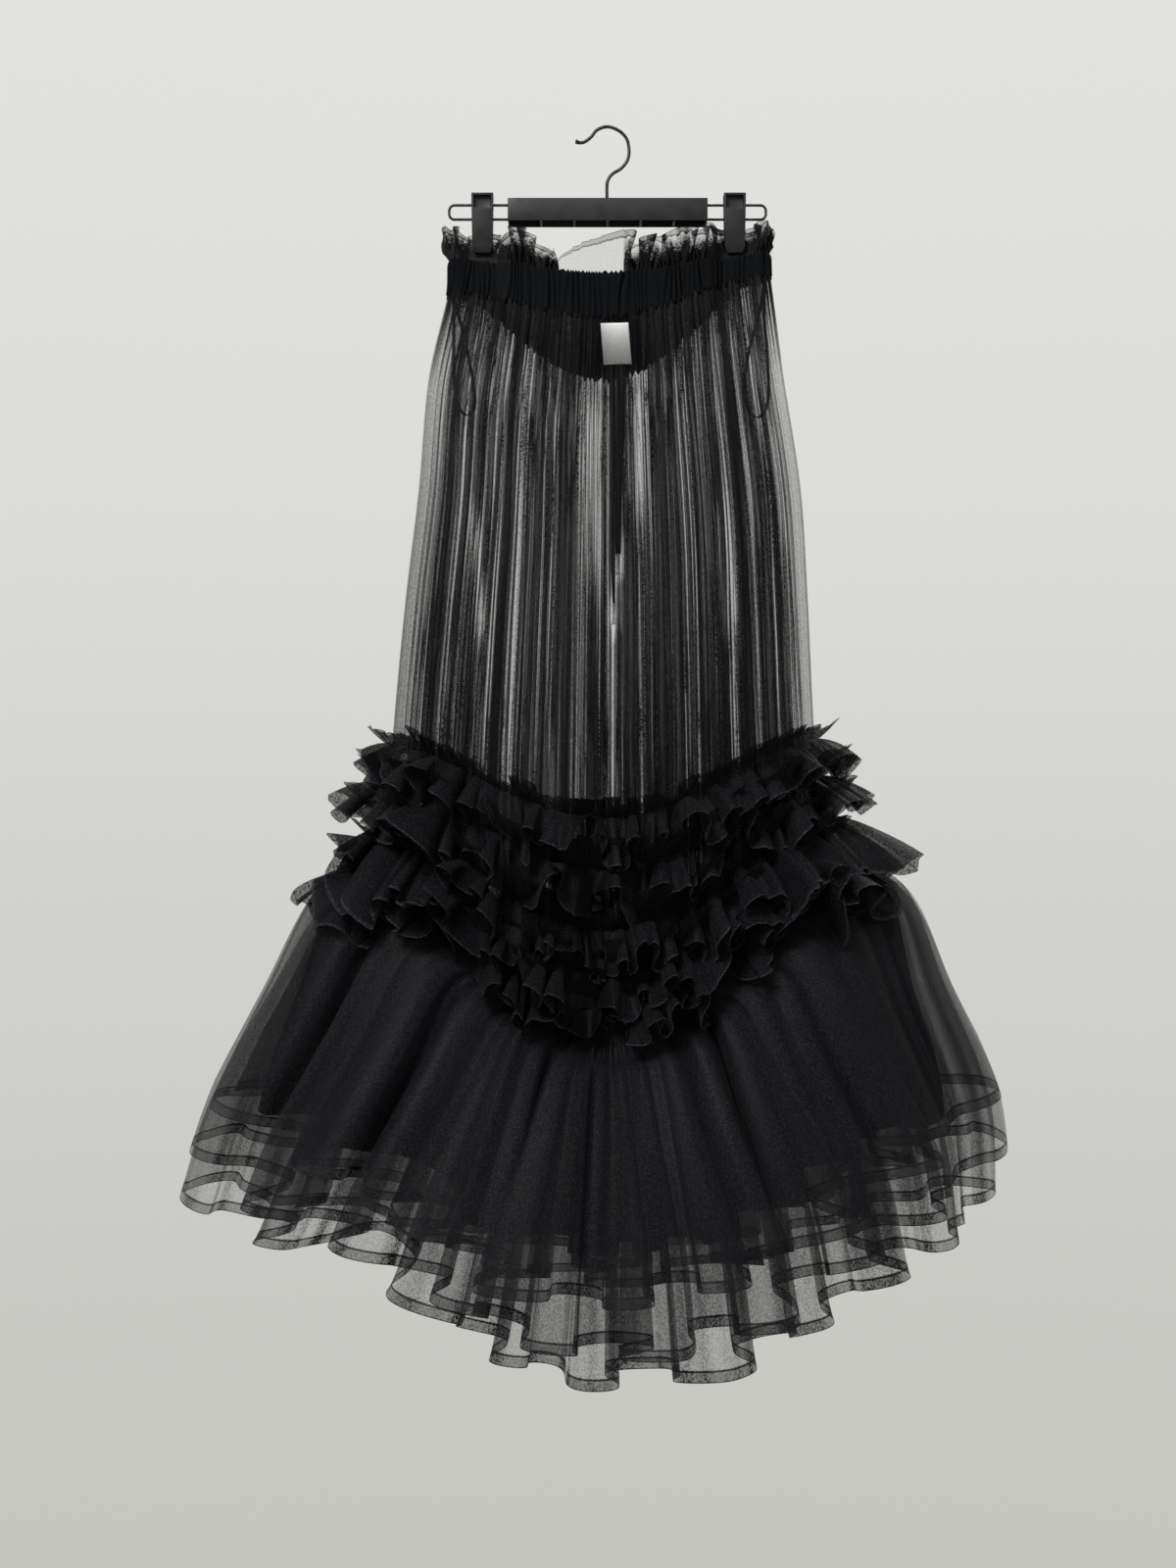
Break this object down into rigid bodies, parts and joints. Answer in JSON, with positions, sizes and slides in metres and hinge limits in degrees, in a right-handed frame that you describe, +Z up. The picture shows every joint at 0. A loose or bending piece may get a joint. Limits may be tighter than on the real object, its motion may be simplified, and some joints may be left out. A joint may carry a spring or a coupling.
{
  "type": "tulle skirt on clip hanger",
  "caption": "Long sheer gathered skirt with an elastic waist, ruffle tiers and a wide layered flounce, hung from a clip hanger.",
  "frame": {"origin": "the inside top of the hanger's hook, where a rail carries it", "axes": "+X to the wearer's left seen from the front (right in the picture), +Y to the back, +Z up"},
  "size_m": [0.7906, 0.5425, 1.1555],
  "materials": {
    "hanger_plastic": "matte black moulded plastic",
    "hanger_metal": "dark plated wire",
    "frill_net": "sheer double net with a folded edge",
    "casing_cloth": "matte black gathered casing",
    "panel_net": "sheer black gathered net",
    "ruffle_tulle": "matte black double tulle",
    "flounce_net": "sheer black tulle with a folded, stitched hem",
    "flounce_cloth": "dense black tulle, soft sheen",
    "label_tape": "light grey woven tape, bare",
    "drawstring_tape": "flat black woven tape",
    "tip_metal": "crimped metal",
    "loop_ribbon": "thin black satin ribbon"
  },
  "bodies": {
    "root": {"hanger_bar": "hanger_plastic", "hanger_hook": "hanger_metal", "hanger_wire_left": "hanger_metal", "hanger_wire_right": "hanger_metal", "clip_left_front": "hanger_plastic", "clip_left_back": "hanger_plastic", "clip_right_front": "hanger_plastic", "clip_right_back": "hanger_plastic", "waist_frill": "frill_net", "waistband": "casing_cloth", "net_front": "panel_net", "net_back": "panel_net", "ruffle_1": "ruffle_tulle", "ruffle_2": "ruffle_tulle", "ruffle_3": "ruffle_tulle", "ruffle_4": "ruffle_tulle", "ruffle_5": "ruffle_tulle", "flounce_outer": "flounce_net", "flounce_middle": "flounce_net", "flounce_inner_front": "flounce_net", "flounce_inner_back": "flounce_net", "flounce_lining": "flounce_cloth", "label": "label_tape", "drawstring_left": "drawstring_tape", "drawstring_right": "drawstring_tape", "drawstring_tip_left": "tip_metal", "drawstring_tip_right": "tip_metal", "side_loop_left": "loop_ribbon", "side_loop_right": "loop_ribbon"}
  },
  "joints": []
}
